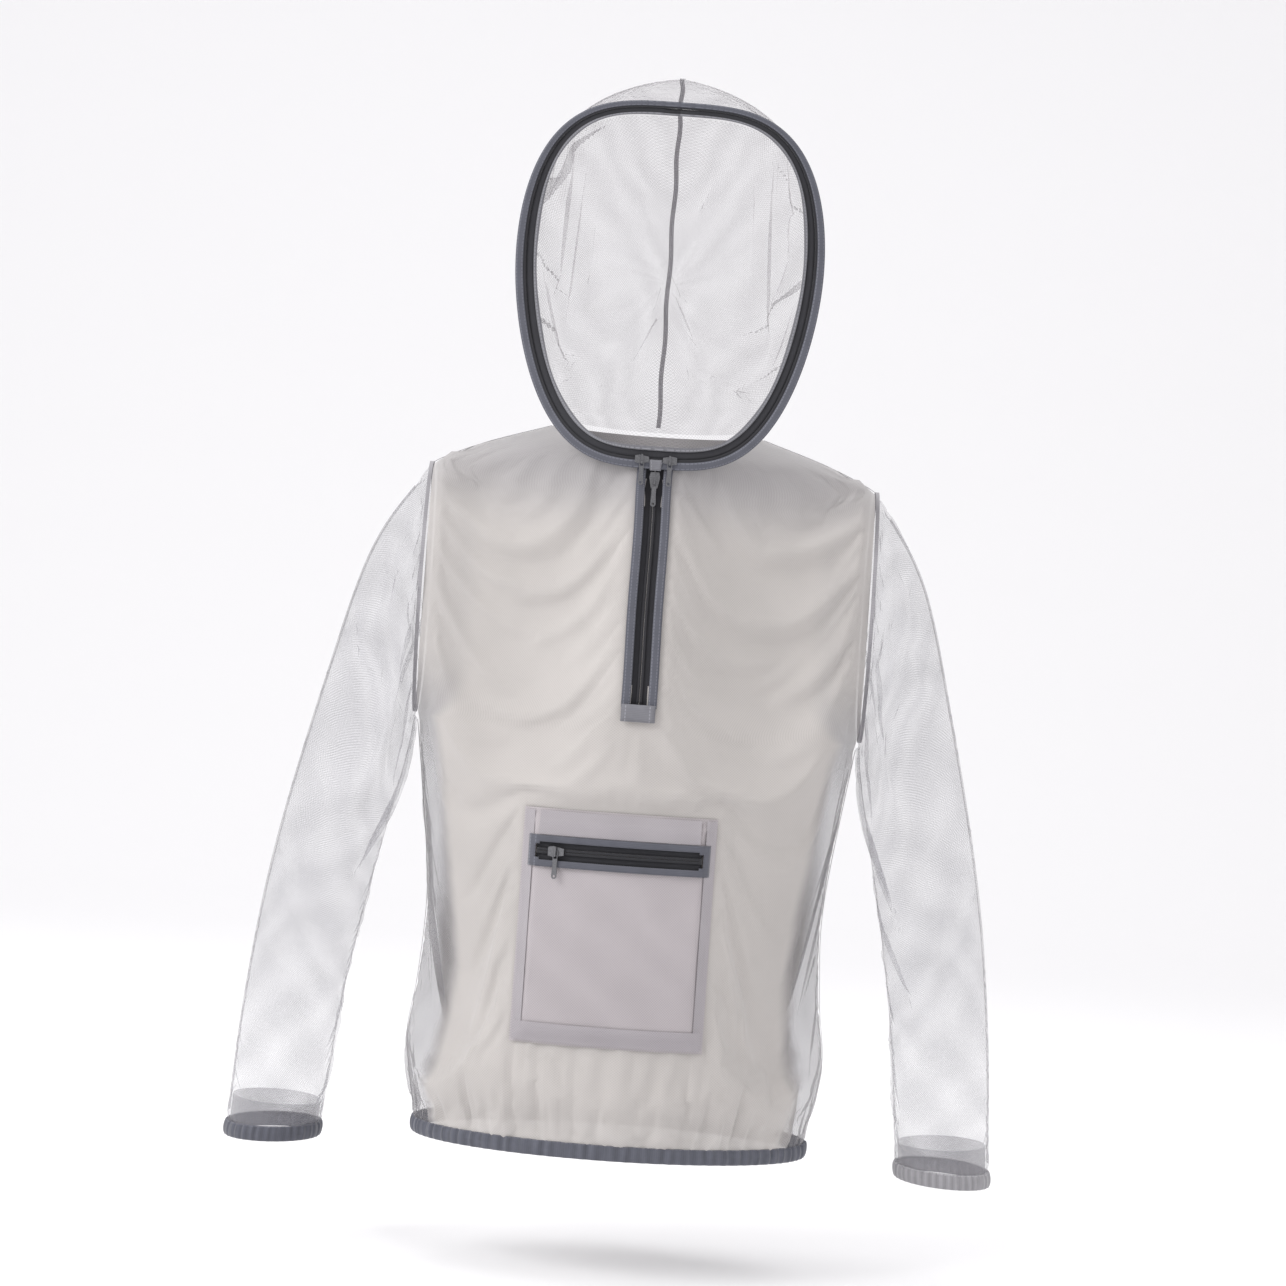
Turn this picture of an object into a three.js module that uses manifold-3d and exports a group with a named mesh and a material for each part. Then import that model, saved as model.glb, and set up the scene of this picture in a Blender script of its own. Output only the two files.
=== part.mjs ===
// Beekeeping jacket: a light mesh pullover with a zipped face veil, a half front zip and a patch pocket.
// Millimetres. X across the shoulders, -Y the front, +Z up. The origin lies on the shoulder line
// at the middle of the neck. The pieces are drawn as the jacket hangs when it is worn.
import * as THREE from 'three';
import { mergeVertices } from 'three/addons/utils/BufferGeometryUtils.js';
import Module from 'manifold-3d';

// Cloth and gaps
const CLOTH = 1.2; // mesh cloth
const TAPE = 1.0; // zip tape, binding and seam tape
const GAP = 0.35; // clearance between two layers
const FOLD_GAP = 1; // clearance between a folded band and the cloth inside it

// Body
const HEM_Z = -684; // lowest edge
const HEM_BAND = 17;
const ARMHOLE_X = 210; // the body panels stop here where the sleeves start
const ARMPIT_Z = -283;
const SHOULDER_TIP_Z = -46;
const NECK_DROP = 30; // the front neckline hangs this far below the shoulder line
const CHEST_HALF = 232;
const NECK_HALF = 93;
const FRONT_NECK_DEPTH = 89; // neckline to the middle plane, front to back
const FRONT_CHEST_DEPTH = 120;

// Front zip
const ZIP_TOP = -3; // before the neckline drops it
const FRONT_SLIDER_Z = -28; // before the neckline drops it
const ZIP_BOTTOM = -262;
const ZIP_HALF = 8; // half of the black strip that shows between the bindings
const BINDING = 8;
const COIL = 2.4;
const TAPE_SINK = 1.3; // the tapes lie this far behind the cloth

// Pocket
const POCKET_LEFT = -98;
const POCKET_RIGHT = 81;
const POCKET_TOP = -362;
const POCKET_BOTTOM = -579;
const POCKET_ZIP_Z = -401;
const POCKET_ZIP_START = -82;
const POCKET_ZIP_END = 66;
const POCKET_SLIDER_X = -66;
const POCKET_ARC = 300; // radius of the pocket face seen from above
const POCKET_RISE = 15; // width of the edge over which it rises
const POCKET_STAND = 8; // the middle of the pocket stands this far off the body

// Face ring and hood
const RING_HALF = 150;
const CHIN_Z = -34; // lowest point of the face ring
const RING_HALF_HEIGHT = 163.5;
const RING_MID_Z = CHIN_Z + RING_HALF_HEIGHT;
const HOOD_BACK_Y = -20;
const HOOD_BACK_DEPTH = 150;
const HOOD_BACK_Z = RING_MID_Z - 4;
const CROWN_RISE = 39; // the crown stands this far above the top of the ring
const HOOD_BACK_HEIGHT = RING_MID_Z + RING_HALF_HEIGHT + CROWN_RISE - HOOD_BACK_Z;
const HOOD_NECK_Z = 5; // lower edge of the hood
const RING_MID_Y = -64; // where the temples of the ring are
const RING_SWEEP = 32; // the top and the chin stand this far forward of the temples
const VEIL_SLIDER_X = 13; // the two sliders meet at the chin
const CHIN_TAB_DROP = 4; // its middle hangs this far below the ring
const VEIL_FREE = 0.9; // share of the veil that bulges, the rest lies flat under the ring
const VEIL_DOME = 24; // the veil stands this far in front of its ring

// Sleeve and cuff
const CUFF_BAND = 13;

const cloth = (color, roughness = 0.9) => () =>
  new THREE.MeshStandardMaterial({ color, roughness, metalness: 0 });
const BODY_MESH = cloth(0xcdc6c2);
const SLEEVE_MESH = cloth(0xd6d4d9);
const POCKET_MESH = cloth(0xb9b2b4);
const SLATE = cloth(0x6e707d);
const BLACK = cloth(0x28282e, 0.8);
const GREY = cloth(0x8c8c92);
const ELASTIC = cloth(0xe4e2de);
const METAL = () => new THREE.MeshStandardMaterial({ color: 0x5a5a5f, roughness: 0.35, metalness: 0.9 });

const group = new THREE.Group();
group.name = 'beekeeping_jacket';

const wasm = await Module();
wasm.setup();

// ---------------------------------------------------------------- helpers

// A smooth curve through [place, value] stops.
function curve(stops) {
  const f = new THREE.CubicInterpolant(stops.map((s) => s[0]), stops.map((s) => s[1]), 1);
  const first = stops[0][0];
  const last = stops[stops.length - 1][0];
  return (at) => f.evaluate(THREE.MathUtils.clamp(at, first, last))[0];
}

// Turns the faces outwards if the bending left them inwards.
function faceOut(geometry) {
  const p = geometry.attributes.position;
  const i = geometry.index.array;
  const [a, b, c] = [new THREE.Vector3(), new THREE.Vector3(), new THREE.Vector3()];
  let volume = 0;
  for (let k = 0; k < i.length; k += 3) {
    a.fromBufferAttribute(p, i[k]);
    b.fromBufferAttribute(p, i[k + 1]);
    c.fromBufferAttribute(p, i[k + 2]);
    volume += a.dot(b.cross(c));
  }
  if (volume < 0) for (let k = 0; k < i.length; k += 3) [i[k + 1], i[k + 2]] = [i[k + 2], i[k + 1]];
  geometry.computeVertexNormals();
  return geometry;
}

// A flat sheet bent so that each point (u, v, w), all 0 to 1, goes to place(u, v, w).
function bent(place, along, across) {
  const g = new THREE.BoxGeometry(1, 1, 1, along, across, 1);
  const p = g.attributes.position;
  for (let k = 0; k < p.count; k++) {
    const at = place(p.getX(k) + 0.5, p.getY(k) + 0.5, p.getZ(k) + 0.5);
    p.setXYZ(k, at.x, at.y, at.z);
  }
  return faceOut(g);
}

// A closed ring whose cross-section is profile, [outward, along] points. place(angle, outward, along).
function ring(profile, place, steps) {
  const radius = 1000; // only holds the section off the axis while it is revolved
  const points = profile.map(([out, along]) => new THREE.Vector2(radius + out, along));
  const g = new THREE.LatheGeometry([...points, points[0]], steps);
  const p = g.attributes.position;
  for (let k = 0; k < p.count; k++) {
    const [x, y, z] = [p.getX(k), p.getY(k), p.getZ(k)];
    const at = place(Math.atan2(x, z), Math.hypot(x, z) - radius, y);
    p.setXYZ(k, at.x, at.y, at.z);
  }
  return faceOut(g);
}

function add(name, geometry, material) {
  const mesh = new THREE.Mesh(geometry, material());
  mesh.name = name;
  group.add(mesh);
  return mesh;
}

function solid(geometry) {
  const g = geometry.index ? geometry.toNonIndexed() : geometry;
  const flat = new THREE.BufferGeometry().setAttribute('position', g.attributes.position);
  const merged = mergeVertices(flat, 1e-3);
  return new wasm.Manifold(new wasm.Mesh({
    numProp: 3,
    vertProperties: merged.attributes.position.array,
    triVerts: new Uint32Array(merged.index.array),
  }));
}

// A manifold solid back as a three.js geometry.
function shown(made) {
  const m = made.getMesh();
  const g = new THREE.BufferGeometry();
  g.setAttribute('position', new THREE.BufferAttribute(new Float32Array(m.vertProperties), 3));
  g.setIndex(new THREE.BufferAttribute(new Uint32Array(m.triVerts), 1));
  g.computeVertexNormals();
  return g;
}

const box = (x0, x1, y0, y1, z0, z1) =>
  new THREE.BoxGeometry(x1 - x0, y1 - y0, z1 - z0).translate((x0 + x1) / 2, (y0 + y1) / 2, (z0 + z1) / 2);

// The point `off` outside surface(u, v), along its own normal.
function lifted(surface, u, v, off, step = 1e-3) {
  const p = surface(u, v);
  const du = surface(u + step, v).sub(surface(u - step, v));
  const dv = surface(u, v + step).sub(surface(u, v - step));
  return p.addScaledVector(du.cross(dv).normalize(), off);
}

// ---------------------------------------------------------------- body

// A height on the body below the armpit, as a share of the way down to the hem.
const below = (share) => THREE.MathUtils.lerp(ARMPIT_Z, HEM_Z, share);

// Half width and half depth of the body at each height.
const bodyHalfWidth = curve([
  [HEM_Z, 186], [HEM_Z + 22, 186], [below(0.85), 193], [below(0.76), 197], [below(0.64), 191],
  [below(0.46), 187], [below(0.34), 190], [below(0.07), 205], [ARMPIT_Z, 210],
  [-240, 226], [-160, CHEST_HALF], [-90, 230], [-50, 216],
  [-25, 168], [0, NECK_HALF],
]);
const bodyHalfDepth = curve([
  [HEM_Z, 107], [HEM_Z + 22, 107], [below(0.85), 115], [below(0.76), 118], [below(0.46), 113],
  [below(0.24), 116], [-290, FRONT_CHEST_DEPTH],
  [-200, 110.4], [-100, 99.7], [-40, 93.3], [0, FRONT_NECK_DEPTH],
]);

// How far the front neckline dips at this angle from the middle front.
const neckDip = (angle, z) => {
  const forward = Math.max(0, Math.cos(angle));
  return NECK_DROP * forward * forward * THREE.MathUtils.smoothstep(z, -110, 0);
};

// The body surface. angle is 0 at the middle front, a quarter turn at the +X side.
function bodyAt(angle, z) {
  const height = z - neckDip(angle, z);
  return new THREE.Vector3(
    bodyHalfWidth(z) * Math.sin(angle), -bodyHalfDepth(height) * Math.cos(angle), height);
}
const onBody = (angle, z, off) => lifted((u, v) => bodyAt(u, v * 100), angle, z / 100, off);

// The same surface reached by its X, on the front.
const onFront = (x, z, off) => onBody(Math.asin(x / bodyHalfWidth(z)), z, off);

const BODY_ROWS = [HEM_Z + 11, HEM_Z + 21, HEM_Z + 39, below(0.85), below(0.76), below(0.67),
  below(0.57), below(0.46), below(0.35), below(0.22), below(0.07), ARMPIT_Z,
  -235, -185, -135, -95, -65, SHOULDER_TIP_Z, -34, -22, -10, 0];

// One body panel from side seam to side seam, facing the angle `middle`.
function bodyPanel(middle) {
  const seam = 0.6 / 90; // half of the gap between the front and the back
  const rows = BODY_ROWS.length - 1;
  return bent((u, v, w) => {
    const z = BODY_ROWS[Math.round(v * rows)];
    const reach = Math.asin(Math.min(1, ARMHOLE_X / bodyHalfWidth(z))) - seam;
    return onBody(middle + (2 * u - 1) * reach, z, w * CLOTH);
  }, 18, rows);
}

function frontBody() {
  const slit = box(-ZIP_HALF - 1, ZIP_HALF + 1, -200, -20, ZIP_BOTTOM - 6, 20);
  add('front_body_panel', shown(solid(bodyPanel(0)).subtract(solid(slit))), BODY_MESH);
}

function backBody() {
  add('back_body_panel', bodyPanel(Math.PI), BODY_MESH);
}

// A strip that runs up the body from z0 to z1 and bends where the panels bend. place(u, z, w).
function upBody(z0, z1, across, place) {
  const rows = [z0, ...BODY_ROWS.filter((z) => z > z0 + 1 && z < z1 - 1), z1];
  return bent((u, v, w) => place(u, rows[Math.round(v * (rows.length - 1))], w), across, rows.length - 1);
}

function bodySeams() {
  for (const [side, turn] of [['left', 1], ['right', -1]]) {
    const strip = (z0, z1, half) => upBody(z0, z1, 2, (u, z, w) =>
      onBody(turn * Math.PI / 2 + (2 * u - 1) * half / bodyHalfDepth(z), z, CLOTH + 2 * GAP + w * TAPE));
    add(side + '_side_seam', strip(HEM_Z + 21, ARMPIT_Z - 8, 4), SLATE);
    add(side + '_shoulder_seam', strip(SHOULDER_TIP_Z + 5, -4, 3), GREY);
  }
}

// A folded strip that goes over an edge: outer leaf, fold, inner leaf.
const foldedBand = (height) => [
  [CLOTH + FOLD_GAP, height], [CLOTH + FOLD_GAP + TAPE, height], [CLOTH + FOLD_GAP + TAPE, 0],
  [-FOLD_GAP - TAPE, 0], [-FOLD_GAP - TAPE, height], [-FOLD_GAP, height],
  [-FOLD_GAP, TAPE], [CLOTH + FOLD_GAP, TAPE],
];
const elasticBand = (height) => [[0, TAPE + GAP], [CLOTH, TAPE + GAP], [CLOTH, height], [0, height]];

function hem() {
  const place = (angle, out, along) => onBody(angle, HEM_Z + 1, 0)
    .add(new THREE.Vector3(Math.sin(angle) * out, -Math.cos(angle) * out, along));
  add('hem_casing', ring(foldedBand(HEM_BAND), place, 48), SLATE);
  add('hem_elastic', ring(elasticBand(9), place, 48), ELASTIC);
}

frontBody();
backBody();
bodySeams();
hem();

// ---------------------------------------------------------------- sleeves

const sleeveOuter = new THREE.CatmullRomCurve3([
  new THREE.Vector3(ARMHOLE_X + 3, 0, SHOULDER_TIP_Z - 1), new THREE.Vector3(264, 0, -130),
  new THREE.Vector3(300, 0, -258), new THREE.Vector3(336, 0, -420), new THREE.Vector3(355, 0, -560),
  new THREE.Vector3(365, 0, -700),
]);
const sleeveInner = new THREE.CatmullRomCurve3([
  new THREE.Vector3(ARMHOLE_X + 3, 0, ARMPIT_Z + 1), new THREE.Vector3(219, 0, -325),
  new THREE.Vector3(233, 0, -390), new THREE.Vector3(252, 0, -480), new THREE.Vector3(268, 0, -580),
  new THREE.Vector3(279, 0, -697),
]);
const sleeveHalfDepth = curve([[0, 47], [0.2, 62], [0.4, 64], [0.6, 58], [0.8, 50], [1, 46]]);

// The sleeve surface. t is 0 at the armhole and 1 at the cuff, side is 1 for +X and -1 for -X.
function sleeveAt(side, angle, t) {
  const outer = sleeveOuter.getPoint(t);
  const inner = sleeveInner.getPoint(t);
  const p = outer.clone().add(inner).multiplyScalar(0.5);
  p.addScaledVector(outer.sub(inner), Math.cos(angle) / 2);
  p.y += sleeveHalfDepth(t) * Math.sin(angle);
  p.x *= side;
  return p;
}

// out is measured across the sleeve, down is measured along it from t.
function onSleeve(side, angle, t, out) {
  const mid = sleeveOuter.getPoint(t).add(sleeveInner.getPoint(t)).multiplyScalar(0.5);
  mid.x *= side;
  const p = sleeveAt(side, angle, t);
  return p.addScaledVector(p.clone().sub(mid).normalize(), out);
}

function sleeve(name, side) {
  const rows = 12;
  const reach = 0.988; // the tube ends inside the folded cuff
  const leaf = (out) => Array.from({ length: rows + 1 }, (_, k) => [out, k / rows]);
  const profile = [...leaf(CLOTH), ...leaf(0).reverse()];
  const tube = (angle, out, t) => onSleeve(side, angle, t * reach, out);
  add(name + '_sleeve', ring(profile, tube, 24), SLEEVE_MESH);

  // The cuff runs straight on from the end of the tube.
  const end = sleeveOuter.getPoint(1).add(sleeveInner.getPoint(1)).multiplyScalar(0.5);
  const before = sleeveOuter.getPoint(0.97).add(sleeveInner.getPoint(0.97)).multiplyScalar(0.5);
  const back = before.sub(end).normalize();
  back.x *= side;
  const cuff = (angle, out, along) => onSleeve(side, angle, 1, out).addScaledVector(back, along);
  add(name + '_cuff_casing', ring(foldedBand(CUFF_BAND), cuff, 24), SLATE);
  add(name + '_cuff_elastic', ring(elasticBand(5.5), cuff, 24), ELASTIC);

  // A flat tape over the join of the sleeve with the body.
  const [low, high] = [CLOTH + 3 * FOLD_GAP, CLOTH + 3 * FOLD_GAP + TAPE];
  const tape = [[low, -1.5], [high, -1.5], [high, 3.5], [low, 3.5]];
  const armhole = (angle, out, along) => onSleeve(side, angle, Math.max(0, along) / 90, out)
    .add(new THREE.Vector3(side * Math.min(0, along), 0, 0));
  add(name + '_armhole_seam', ring(tape, armhole, 32), SLATE);

  // The seam under the arm, from the armpit to the cuff.
  add(name + '_underarm_seam', bent((u, v, w) => {
    const t = THREE.MathUtils.lerp(1 / rows, 1 - 1 / rows, v) * reach;
    return onSleeve(side, Math.PI + (2 * u - 1) * 0.07, t, CLOTH + 2 * GAP + w * TAPE);
  }, 2, rows - 2), SLATE);
}

sleeve('left', 1);
sleeve('right', -1);

// ---------------------------------------------------------------- front zip

// A slider with a bridge on its face, which stands upright whichever way the slider runs.
// Its own frame: -Y outwards. sideways turns the plate to run along X.
function sliderBody(width, length, sideways) {
  const outline = new THREE.Shape();
  const [w, l] = [width / 2, length / 2];
  outline.moveTo(-w * 0.62, -l).lineTo(w * 0.62, -l).lineTo(w, l * 0.35).lineTo(w * 0.8, l)
    .lineTo(-w * 0.8, l).lineTo(-w, l * 0.35).closePath();
  const plate = new THREE.ExtrudeGeometry(outline, { depth: 1.8, bevelEnabled: false });
  plate.rotateX(Math.PI / 2);
  if (sideways) plate.rotateY(Math.PI / 2 * sideways);
  const bar = 4.4; // half length of the bridge
  let made = solid(plate);
  const rod = [[-bar, bar, -3.9], [-bar, -bar + 1.4, -1.2], [bar - 1.4, bar, -1.2]];
  for (const [z0, z1, inner] of rod) made = made.add(solid(box(-0.8, 0.8, -5.4, inner, z0, z1)));
  return made;
}

// A flat pull whose cross bar hangs in the bridge. The hinge line is its own origin.
function pullPlate(length, width) {
  const w = width / 2;
  const outline = new THREE.Shape();
  outline.moveTo(-w, 0.55).lineTo(w, 0.55).lineTo(w * 0.8, -length * 0.5).lineTo(w, -length + w);
  outline.absarc(0, -length + w, w, 0, -Math.PI, true);
  outline.lineTo(-w * 0.8, -length * 0.5).closePath();
  const slot = new THREE.Path();
  slot.moveTo(-1.5, -0.55).lineTo(-1.5, -6.4).lineTo(1.5, -6.4).lineTo(1.5, -0.55).closePath();
  const eye = new THREE.Path();
  eye.absarc(0, -length + w, w - 1.3, 0, Math.PI * 2, false);
  outline.holes.push(slot, eye);
  return solid(new THREE.ExtrudeGeometry(outline, { depth: 1, bevelEnabled: false, curveSegments: 8 })
    .rotateX(Math.PI / 2).translate(0, 0.5, 0));
}

// Puts a slider and its pull on a zip at the point p, turned by lean about X and by yaw about Z.
function sliderAndPull(name, p, { lean = 0, yaw = 0, sideways = 0, width = 10, length = 15, pull = 25 }) {
  const put = (made) => shown(made).rotateX(lean).rotateZ(yaw).translate(p.x, p.y, p.z);
  add(name + '_slider', put(sliderBody(width, length, sideways)), METAL);
  add(name + '_pull', put(pullPlate(pull, 5).translate([0, -2.85, 0])), METAL);
}

function frontZip() {
  for (const [side, s] of [['left', 1], ['right', -1]]) {
    const strip = (x0, x1, z0, z1, off, thick, across = 2) => upBody(z0, z1, across, (u, z, w) =>
      onFront(s * THREE.MathUtils.lerp(x0, x1, u), z, off + w * thick));
    const tape = strip(0.3, 15, ZIP_BOTTOM - 4, ZIP_TOP, -TAPE_SINK - TAPE, TAPE);
    add('front_zip_' + side + '_tape', tape, BLACK);
    add('front_zip_' + side + '_coil', strip(0.2, COIL, ZIP_BOTTOM + 2, ZIP_TOP - 11,
      GAP - TAPE_SINK, 2.6, 1), BLACK);
    add('front_' + side + '_binding', strip(ZIP_HALF, ZIP_HALF + BINDING, ZIP_BOTTOM + 2, ZIP_TOP - 14,
      CLOTH + 2 * GAP, TAPE), SLATE);
  }
  add('front_zip_end_tab', upBody(ZIP_BOTTOM - 15, ZIP_BOTTOM + 1, 4, (u, z, w) =>
    onFront((2 * u - 1) * 15, z, CLOTH + 2 * GAP + w * TAPE)), GREY);
  const lean = -Math.atan2(FRONT_CHEST_DEPTH - FRONT_NECK_DEPTH, 290);
  sliderAndPull('front_zip', onFront(0, FRONT_SLIDER_Z, 2.4), { lean });
}

frontZip();

// ---------------------------------------------------------------- face ring, veil and hood

// The egg-shaped line of the face opening. angle is 0 at the top.
function ringAt(angle) {
  const [s, c] = [Math.sin(angle), Math.cos(angle)];
  const z = RING_MID_Z + RING_HALF_HEIGHT * c;
  const x = RING_HALF * (0.9 + 0.1 * c) * Math.sign(s) * Math.abs(s) ** 0.58;
  return new THREE.Vector3(x, RING_MID_Y - RING_SWEEP * c * c, z);
}

// A point on the face ring: out across it in its own plane, forward towards -Y.
function onRing(angle, out, forward) {
  const along = ringAt(angle + 0.02).sub(ringAt(angle - 0.02)).setY(0).normalize();
  const p = ringAt(angle);
  return p.add(new THREE.Vector3(along.z * -out, -forward, along.x * out));
}

function faceRing() {
  const band = (out0, out1, f0, f1) => [[out0, f0], [out1, f0], [out1, f1], [out0, f1]];
  const loop = (name, section, material) => add(name, ring(section, onRing, 48), material);
  loop('ring_inner_binding', band(-15, -8.5, 1.6, 2.6), GREY);
  loop('ring_zip_inner_tape', band(-13, -1.7, 0, 1), BLACK);
  loop('ring_zip_outer_tape', band(1.7, 7, 0, 1), BLACK);
  loop('ring_zip_coil', band(-1.3, 1.3, -0.4, 2.2), BLACK);
  loop('ring_outer_binding', band(4, 9.5, 1.6, 2.6), SLATE);

  const chin = onRing(Math.PI, 0, 0);
  for (const [name, s] of [['left', 1], ['right', -1]]) {
    const at = chin.clone().add(new THREE.Vector3(s * VEIL_SLIDER_X, -2.8, 0));
    sliderAndPull('veil_' + name, at, { sideways: s, width: 8, length: 13, pull: 24 });
  }
  const tab = new THREE.Shape();
  const reach = VEIL_SLIDER_X - 7.3; // it fits between the two sliders
  tab.moveTo(-reach + 1, -6).lineTo(reach - 1, -6).lineTo(reach, 4).lineTo(-reach, 4).closePath();
  const cut = new THREE.ExtrudeGeometry(tab, { depth: TAPE, bevelEnabled: false }).rotateX(Math.PI / 2);
  add('chin_tab', cut.translate(0, chin.y - 3.2, chin.z - CHIN_TAB_DROP), GREY);
}

function faceVeil() {
  const steps = 10;
  const front = Array.from({ length: steps + 1 }, (_, k) => new THREE.Vector2(k / steps, 1));
  const g = new THREE.LatheGeometry([new THREE.Vector2(0, 0), ...front, new THREE.Vector2(1, 0),
    ...front.slice(1, -1).reverse().map((q) => new THREE.Vector2(q.x, 0)), new THREE.Vector2(0, 0)], 40);
  const p = g.attributes.position;
  const rim = -8;
  for (let k = 0; k < p.count; k++) {
    const share = Math.hypot(p.getX(k), p.getZ(k));
    const at = onRing(Math.atan2(p.getX(k), p.getZ(k)), rim * share, 0);
    const middle = new THREE.Vector3(0, RING_MID_Y - RING_SWEEP / 2, RING_MID_Z);
    at.lerp(middle, 1 - share);
    const inside = Math.min(1, share / VEIL_FREE);
    at.y += 2.4 - VEIL_DOME * (1 - inside * inside) - p.getY(k) * CLOTH;
    p.setXYZ(k, at.x, at.y, at.z);
  }
  add('face_veil', faceOut(g), SLEEVE_MESH);
}

// The middle line of the hood, from the back of the neck over the crown.
const hoodBack = (turn) => new THREE.Vector3(
  0, HOOD_BACK_Y + HOOD_BACK_DEPTH * Math.cos(turn), HOOD_BACK_Z + HOOD_BACK_HEIGHT * Math.sin(turn));
const HOOD_NECK_TURN = Math.asin((HOOD_NECK_Z - HOOD_BACK_Z) / HOOD_BACK_HEIGHT);
const HOOD_RIM_START = Math.acos((HOOD_NECK_Z - RING_MID_Z) / RING_HALF_HEIGHT);
const HOOD_CROWN_TURN = THREE.MathUtils.degToRad(97);
const HOOD_RIM_TURN = THREE.MathUtils.degToRad(116);

// One half of the hood. up runs from the neck to the crown, round from the ring to the middle back.
function hoodAt(side, up, round) {
  const rim = ringAt(THREE.MathUtils.lerp(HOOD_RIM_START, 0.0008, up));
  const back = hoodBack(THREE.MathUtils.lerp(HOOD_NECK_TURN, HOOD_CROWN_TURN, up));
  const turn = round * Math.PI / 2;
  return new THREE.Vector3(
    side * THREE.MathUtils.lerp(2.2, rim.x, Math.cos(turn) ** 0.85),
    THREE.MathUtils.lerp(rim.y + 3, back.y, Math.sin(turn)),
    THREE.MathUtils.lerp(rim.z, back.z, Math.sin(turn) ** 1.5));
}

function hood() {
  for (const [name, side] of [['left', 1], ['right', -1]]) {
    const inward = new THREE.Vector3(0, 0, 120);
    add('hood_' + name + '_panel', bent((u, v, w) => {
      const p = hoodAt(side, v, u * 0.995);
      const middle = inward.clone().setY(HOOD_BACK_Y);
      const away = p.clone().sub(middle).normalize();
      return p.addScaledVector(away, (w - 0.5) * CLOTH);
    }, 11, 11), SLEEVE_MESH);
  }
  add('hood_centre_seam', bent((u, v, w) => {
    const turn = THREE.MathUtils.lerp(HOOD_NECK_TURN + 0.03, HOOD_RIM_TURN, v);
    const p = hoodBack(turn);
    const away = new THREE.Vector3(0, Math.cos(turn), Math.sin(turn));
    return p.addScaledVector(away, 2.5 + w * TAPE).setX((u - 0.5) * 6);
  }, 1, 30), GREY);
}

faceRing();
faceVeil();
hood();

// ---------------------------------------------------------------- pocket

// A point of the pocket: flat to the body round its edge, standing off in one even arc inside.
function onPocket(x, z, off) {
  const inset = Math.min(x - POCKET_LEFT, POCKET_RIGHT - x, z - POCKET_BOTTOM, POCKET_TOP - z);
  const share = THREE.MathUtils.smoothstep(inset, 0, POCKET_RISE);
  const low = onFront(x, z, CLOTH + 2 * GAP);
  const arc = -118 - POCKET_STAND + POCKET_ARC - Math.sqrt(POCKET_ARC ** 2 - x * x);
  low.y = THREE.MathUtils.lerp(low.y, arc, share) - off;
  return new THREE.Vector3(x, low.y, z);
}

function pocket() {
  const columns = [POCKET_LEFT, POCKET_LEFT + 7, POCKET_LEFT + POCKET_RISE, -60, -35, -10, 15, 40,
    POCKET_RIGHT - POCKET_RISE, POCKET_RIGHT - 7, POCKET_RIGHT];
  const rows = [POCKET_BOTTOM, POCKET_BOTTOM + 7, POCKET_BOTTOM + POCKET_RISE, -520, -475, -435,
    POCKET_TOP - POCKET_RISE, POCKET_TOP - 7, POCKET_TOP];
  const pick = (list, share) => list[Math.round(share * (list.length - 1))];
  const panel = bent((u, v, w) => onPocket(pick(columns, u), pick(rows, v), w * CLOTH),
    columns.length - 1, rows.length - 1);
  const window = box(POCKET_ZIP_START - 3, POCKET_ZIP_END + 3, -160, -90,
    POCKET_ZIP_Z - ZIP_HALF - 1, POCKET_ZIP_Z + ZIP_HALF + 1);
  add('pocket_panel', shown(solid(panel).subtract(solid(window))), POCKET_MESH);

  // A strip over the panel between two X and two Z.
  const patch = (x0, x1, z0, z1, off, thick) => bent((u, v, w) => {
    const inner = columns.filter((x) => x > x0 + 1 && x < x1 - 1);
    const xs = [x0, ...inner, x1];
    return onPocket(xs[Math.round(u * (xs.length - 1))], THREE.MathUtils.lerp(z0, z1, v), off + w * thick);
  }, columns.filter((x) => x > x0 + 1 && x < x1 - 1).length + 1, 1);
  const sewn = CLOTH + 4 * GAP;
  const [left, right] = [POCKET_LEFT + POCKET_RISE, POCKET_RIGHT - POCKET_RISE];
  const top = POCKET_TOP - POCKET_RISE;
  const bottom = POCKET_BOTTOM + POCKET_RISE;
  add('pocket_top_hem', patch(left, right, top - 9, top - 1, sewn, TAPE), POCKET_MESH);
  add('pocket_bottom_hem', patch(left, right, bottom + 1, bottom + 14, sewn, TAPE), POCKET_MESH);

  const frame = patch(
    POCKET_ZIP_START - 9, POCKET_ZIP_END + 9, POCKET_ZIP_Z - 14, POCKET_ZIP_Z + 14, sewn, TAPE);
  add('pocket_zip_binding', shown(solid(frame).subtract(solid(window))), SLATE);
  for (const [name, s] of [['upper', 1], ['lower', -1]]) {
    const strip = (near, far, off, thick, inset) => {
      const [z0, z1] = [POCKET_ZIP_Z + s * near, POCKET_ZIP_Z + s * far].sort((a, b) => a - b);
      return patch(POCKET_ZIP_START - inset, POCKET_ZIP_END + inset, z0, z1, off, thick);
    };
    add('pocket_zip_' + name + '_tape', strip(0.3, 13, -TAPE_SINK - TAPE, TAPE, 6), BLACK);
    add('pocket_zip_' + name + '_coil', strip(0.2, COIL, GAP - TAPE_SINK, 2.6, 1), BLACK);
  }
  const x = POCKET_SLIDER_X;
  const yaw = Math.asin(x / POCKET_ARC);
  sliderAndPull('pocket_zip', onPocket(x, POCKET_ZIP_Z, 2.2), { yaw, sideways: -1 });
}

pocket();

export default group;
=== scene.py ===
import math
import bmesh
import bpy
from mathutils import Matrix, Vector, noise


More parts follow.
